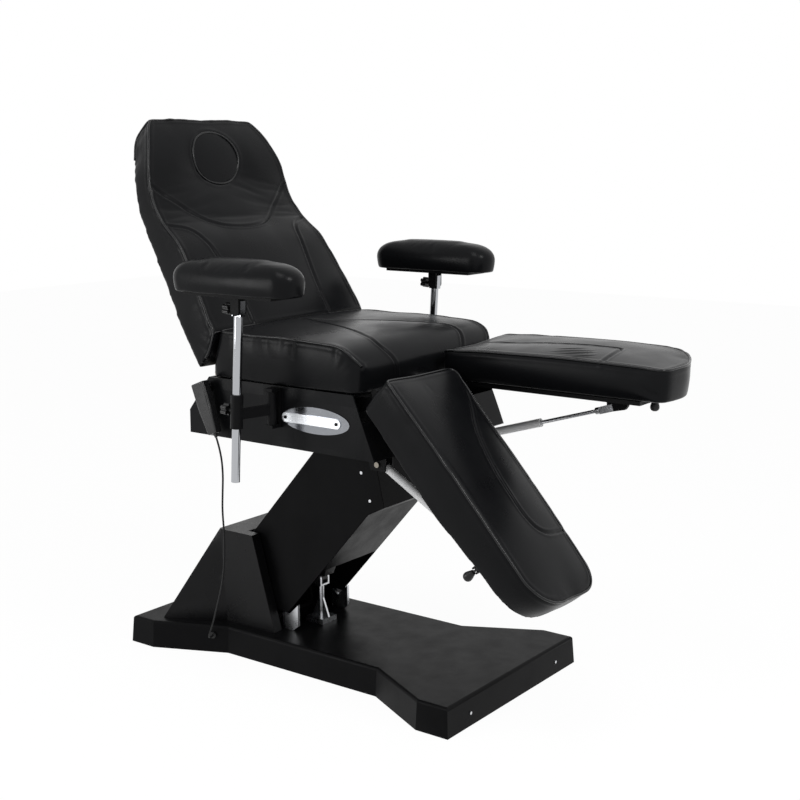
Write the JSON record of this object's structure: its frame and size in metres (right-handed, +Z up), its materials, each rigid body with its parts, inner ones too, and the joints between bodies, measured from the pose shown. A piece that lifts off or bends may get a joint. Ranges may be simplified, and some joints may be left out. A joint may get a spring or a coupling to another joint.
{
  "type": "tattoo chair",
  "caption": "Powered tattoo chair: slanted lift arm on a dog-bone base, level seat, reclining back with face hole, separate folding leg rests, swinging armrests and a corded handset.",
  "frame": {"origin": "on the floor, under the middle of the base's footprint", "axes": "+Z up; the sitter faces -Y; +Y is the rear; +X is the side whose leg rest is stored level"},
  "size_m": [0.9352, 1.4783, 1.4592],
  "materials": {
    "upholstery": "soft black upholstery with a low sheen",
    "cover_plastic": "black moulded cover, smooth",
    "steel_black": "black powder-coated steel",
    "steel_zinc": "zinc-plated steel",
    "fork_zinc": "yellow passivated zinc",
    "chrome": "polished chrome",
    "board": "plywood",
    "knob_plastic": "black plastic",
    "key_plastic": "grey plastic key",
    "silver_tube": "silver gas-spring tube",
    "cord_rubber": "black cable sheath"
  },
  "bodies": {
    "base": {"base_plate": "steel_black", "base_cover": "cover_plastic", "base_screws": "steel_zinc", "pedestal_cover": "cover_plastic", "pivot_bracket": "steel_black", "lift_pin_lower": "steel_zinc", "actuator_post": "steel_zinc", "foot_brackets": "steel_zinc", "cord_grommet": "knob_plastic", "handset_cord": "cord_rubber"},
    "lift_arm_body": {"lift_arm": "steel_black", "arm_cover": "cover_plastic", "arm_screws": "steel_zinc"},
    "lift_motor": {"lift_actuator_body": "steel_black"},
    "lift_ram": {"lift_actuator_rod": "steel_zinc"},
    "link": {"levelling_link": "steel_black"},
    "seat": {"seat_frame": "steel_black", "lift_pin_upper": "steel_zinc", "skirt_cover": "upholstery", "oval_plates": "chrome", "plate_bars": "steel_zinc", "plate_screws": "steel_zinc", "seat_board": "board", "seat_cushion": "upholstery", "leg_hinge_pins": "steel_zinc", "frame_bolts": "steel_zinc", "handset_hook": "knob_plastic", "handset_body": "knob_plastic", "armrest_brackets": "steel_black"},
    "key_lift": {"handset_key_lift": "key_plastic"},
    "key_back": {"handset_key_back": "key_plastic"},
    "back": {"back_frame": "steel_black", "back_cushion": "upholstery"},
    "plug": {"face_plug": "upholstery"},
    "back_motor": {"back_actuator_body": "steel_black"},
    "back_ram": {"back_actuator_rod": "steel_zinc"},
    "leg_near": {"leg_frame_near": "steel_black", "leg_cushion_near": "upholstery"},
    "lever_near": {"release_lever_near": "knob_plastic"},
    "gas_rod_near": {"spring_rod_near": "fork_zinc"},
    "gas_tube_near": {"spring_tube_near": "silver_tube"},
    "arm_near": {"armrest_arm_near": "steel_black"},
    "post_near": {"armrest_post_near": "chrome"},
    "pad_near": {"pad_bracket_near": "steel_black", "arm_pad_near": "upholstery"},
    "sleeve_knob_body_near": {"sleeve_knob_near": "knob_plastic"},
    "tilt_knob_body_near": {"tilt_knob_near": "knob_plastic"},
    "leg_far": {"leg_frame_far": "steel_black", "leg_cushion_far": "upholstery"},
    "lever_far": {"release_lever_far": "knob_plastic"},
    "gas_rod_far": {"spring_rod_far": "fork_zinc"},
    "gas_tube_far": {"spring_tube_far": "silver_tube"},
    "arm_far": {"armrest_arm_far": "steel_black"},
    "post_far": {"armrest_post_far": "chrome"},
    "pad_far": {"pad_bracket_far": "steel_black", "arm_pad_far": "upholstery"},
    "sleeve_knob_body_far": {"sleeve_knob_far": "knob_plastic"},
    "tilt_knob_body_far": {"tilt_knob_far": "knob_plastic"}
  },
  "joints": [
    {"name": "lift", "type": "hinge", "parent": "base", "child": "lift_arm_body", "pos_m": [0, 0.24, 0.24], "axis": [1, 0, 0], "range_deg": [0, 28], "deforming": ["handset_cord"]},
    {"name": "level", "type": "hinge", "parent": "lift_arm_body", "child": "seat", "pos_m": [0, -0.10548, 0.66181], "axis": [1, 0, 0], "range_deg": [-29, 1]},
    {"name": "lift_motor_swing", "type": "hinge", "parent": "base", "child": "lift_motor", "pos_m": [0, 0.09, 0.2], "axis": [1, 0, 0], "range_deg": [-1, 34.12]},
    {"name": "lift_ram_slide", "type": "slide", "parent": "lift_motor", "child": "lift_ram", "axis": [0, -0.3864, 0.9223], "range_m": [-0.0705, 0.002]},
    {"name": "link_swing", "type": "hinge", "parent": "base", "child": "link", "pos_m": [0, 0.24, 0.18], "axis": [1, 0, 0], "range_deg": [-1, 29]},
    {"name": "back_recline", "type": "hinge", "parent": "seat", "child": "back", "pos_m": [0, 0.25, 0.791], "axis": [-1, 0, 0], "range_deg": [0, 58]},
    {"name": "back_motor_swing", "type": "hinge", "parent": "seat", "child": "back_motor", "pos_m": [0.236, -0.15, 0.69], "axis": [1, 0, 0], "range_deg": [-1, 10.2]},
    {"name": "back_ram_slide", "type": "slide", "parent": "back_motor", "child": "back_ram", "axis": [0, 0.9994, 0.0333], "range_m": [-0.066, 0.002]},
    {"name": "plug_pull", "type": "slide", "parent": "back", "child": "plug", "axis": [0, -0.8508, 0.5255], "range_m": [0, 0.09]},
    {"name": "key_lift_press", "type": "slide", "parent": "seat", "child": "key_lift", "axis": [-1, 0, 0], "range_m": [0, 0.0008], "stiffness_N_per_m": 1500},
    {"name": "key_back_press", "type": "slide", "parent": "seat", "child": "key_back", "axis": [-1, 0, 0], "range_m": [0, 0.0008], "stiffness_N_per_m": 1500},
    {"name": "leg_drop_near", "type": "hinge", "parent": "seat", "child": "leg_near", "pos_m": [0, -0.295, 0.8], "axis": [1, 0, 0], "range_deg": [-48.3, 0]},
    {"name": "gas_rod_swing_near", "type": "hinge", "parent": "leg_near", "child": "gas_rod_near", "pos_m": [-0.18, -0.52236, 0.45612], "axis": [1, 0, 0], "range_deg": [-1, 2.26]},
    {"name": "gas_tube_slide_near", "type": "slide", "parent": "gas_rod_near", "child": "gas_tube_near", "axis": [0, 0.8638, 0.5039], "range_m": [-0.002, 0.1612]},
    {"name": "lever_pull_near", "type": "hinge", "parent": "leg_near", "child": "lever_near", "pos_m": [-0.262, -0.59848, 0.41947], "axis": [0, 0.6652, 0.7466], "range_deg": [0, 25], "stiffness_Nm_per_rad": 0.6},
    {"name": "armrest_swing_near", "type": "hinge", "parent": "seat", "child": "arm_near", "pos_m": [-0.309, -0.016, 0.724], "axis": [0, 0, 1], "range_deg": [0, 90]},
    {"name": "armrest_height_near", "type": "slide", "parent": "arm_near", "child": "post_near", "axis": [0, -0.0558, 0.9984], "range_m": [-0.05, 0.08]},
    {"name": "pad_tilt_near", "type": "hinge", "parent": "post_near", "child": "pad_near", "pos_m": [-0.411, -0.00784, 0.99333], "axis": [1, 0, 0], "range_deg": [-12, 12]},
    {"name": "sleeve_knob_turn_near", "type": "hinge", "parent": "arm_near", "child": "sleeve_knob_body_near", "pos_m": [-0.411, 0.00606, 0.74472], "axis": [0, 0.9984, 0.0558], "range_deg": [0, 180]},
    {"name": "tilt_knob_turn_near", "type": "hinge", "parent": "post_near", "child": "tilt_knob_body_near", "pos_m": [-0.411, -0.00784, 0.99333], "axis": [0, 0.9984, 0.0558], "range_deg": [0, 180]},
    {"name": "leg_drop_far", "type": "hinge", "parent": "seat", "child": "leg_far", "pos_m": [0, -0.295, 0.8], "axis": [1, 0, 0], "range_deg": [0, 48.3]},
    {"name": "gas_rod_swing_far", "type": "hinge", "parent": "leg_far", "child": "gas_rod_far", "pos_m": [0.18, -0.703, 0.741], "axis": [1, 0, 0], "range_deg": [-2.26, 1]},
    {"name": "gas_tube_slide_far", "type": "slide", "parent": "gas_rod_far", "child": "gas_tube_far", "axis": [0, 0.9574, -0.2887], "range_m": [-0.1612, 0.002]},
    {"name": "lever_pull_far", "type": "hinge", "parent": "leg_far", "child": "lever_far", "pos_m": [0.262, -0.781, 0.77345], "axis": [0, -1, 0], "range_deg": [0, 25], "stiffness_Nm_per_rad": 0.6},
    {"name": "armrest_swing_far", "type": "hinge", "parent": "seat", "child": "arm_far", "pos_m": [0.309, -0.016, 0.724], "axis": [0, 0, -1], "range_deg": [0, 90]},
    {"name": "armrest_height_far", "type": "slide", "parent": "arm_far", "child": "post_far", "axis": [0, -0.0558, 0.9984], "range_m": [-0.05, 0.08]},
    {"name": "pad_tilt_far", "type": "hinge", "parent": "post_far", "child": "pad_far", "pos_m": [0.411, -0.00784, 0.99333], "axis": [1, 0, 0], "range_deg": [-12, 12]},
    {"name": "sleeve_knob_turn_far", "type": "hinge", "parent": "arm_far", "child": "sleeve_knob_body_far", "pos_m": [0.411, 0.00606, 0.74472], "axis": [0, 0.9984, 0.0558], "range_deg": [0, 180]},
    {"name": "tilt_knob_turn_far", "type": "hinge", "parent": "post_far", "child": "tilt_knob_body_far", "pos_m": [0.411, -0.00784, 0.99333], "axis": [0, 0.9984, 0.0558], "range_deg": [0, 180]}
  ],
  "couplings": [
    {"joint": "level", "follows": "lift", "ratio": -1},
    {"joint": "lift_motor_swing", "follows": "lift", "ratio": 1.1829},
    {"joint": "lift_ram_slide", "follows": "lift", "m_per_rad": -0.14016},
    {"joint": "link_swing", "follows": "lift", "ratio": 1},
    {"joint": "back_motor_swing", "follows": "back_recline", "ratio": 0.15862},
    {"joint": "back_ram_slide", "follows": "back_recline", "m_per_rad": -0.06325},
    {"joint": "gas_rod_swing_near", "follows": "leg_drop_near", "ratio": -0.02611},
    {"joint": "gas_tube_slide_near", "follows": "leg_drop_near", "m_per_rad": -0.18885},
    {"joint": "gas_rod_swing_far", "follows": "leg_drop_far", "ratio": -0.02611},
    {"joint": "gas_tube_slide_far", "follows": "leg_drop_far", "m_per_rad": -0.18885}
  ]
}
